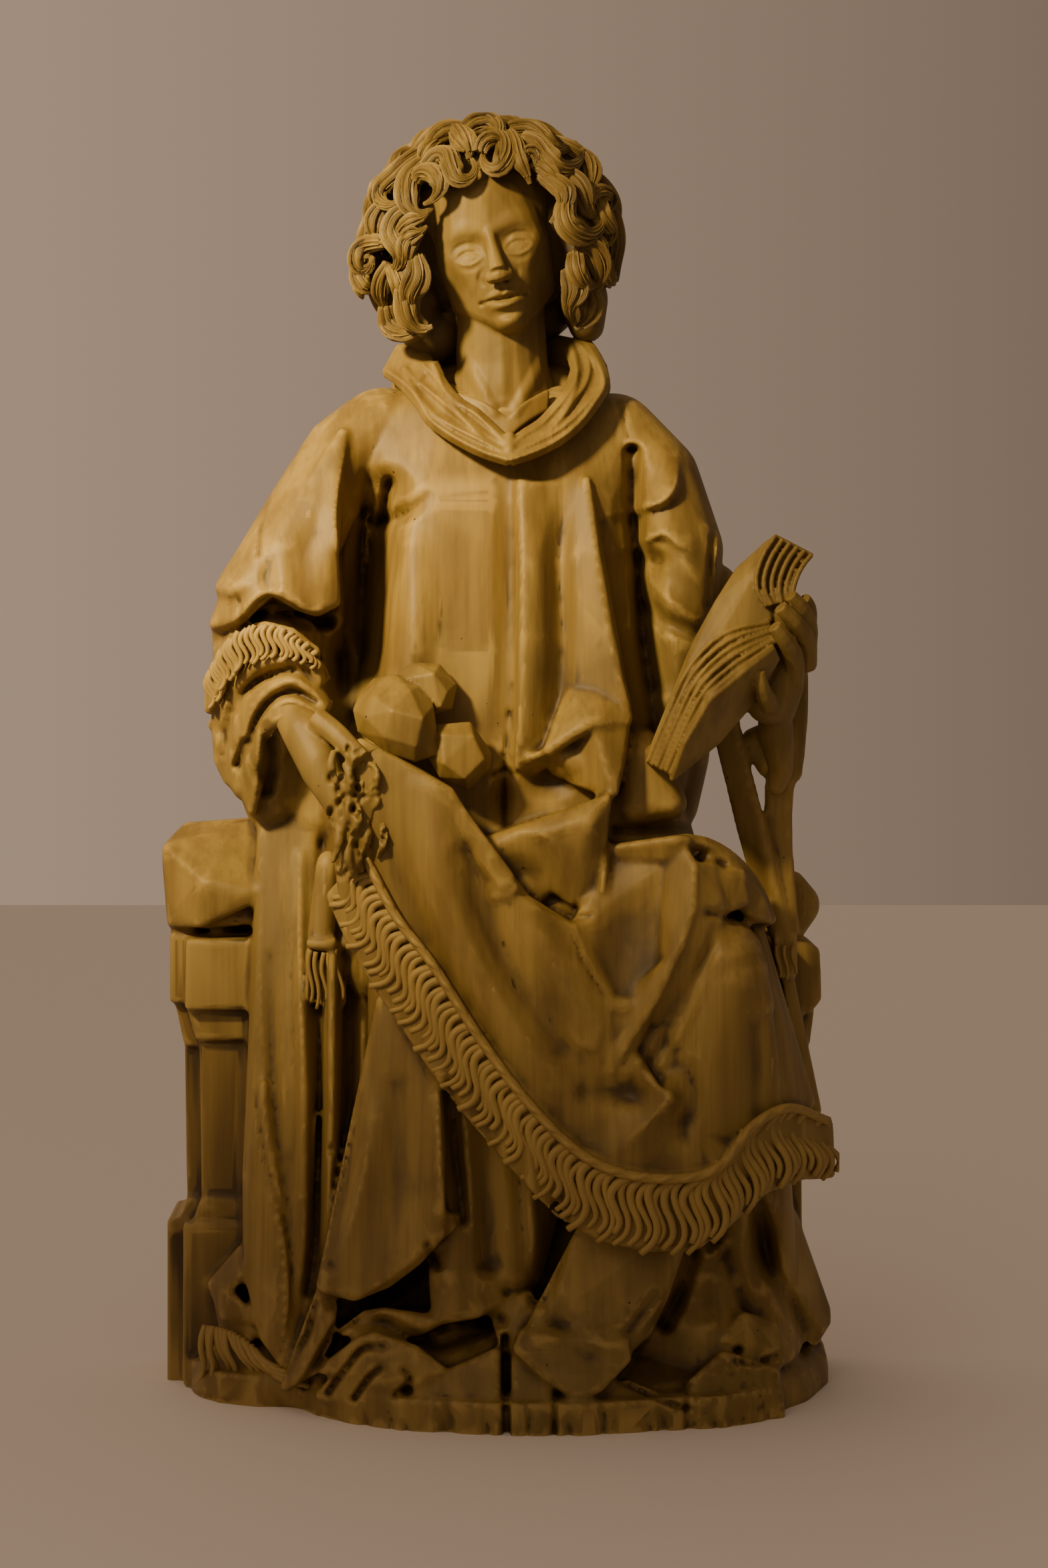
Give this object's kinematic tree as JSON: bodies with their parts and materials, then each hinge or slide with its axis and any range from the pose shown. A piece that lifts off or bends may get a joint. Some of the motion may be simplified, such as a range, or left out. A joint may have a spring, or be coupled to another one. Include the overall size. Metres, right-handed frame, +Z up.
{
  "type": "wooden saint statue",
  "caption": "Carved lindenwood figure of a seated deacon saint with curly hair, an open book, stones in the lap and a lifted, fringed dalmatic over a bench.",
  "frame": {"origin": "middle of the box's underside, which stands on the floor", "axes": "+Z up, -Y the front that the figure faces, +X to the viewer's right"},
  "size_m": [0.49, 0.236, 0.93],
  "materials": {
    "wood": "unpainted lindenwood, hand carved and worn, with an old brown patina"
  },
  "bodies": {
    "root": {"saint_statue": "wood"}
  },
  "joints": []
}
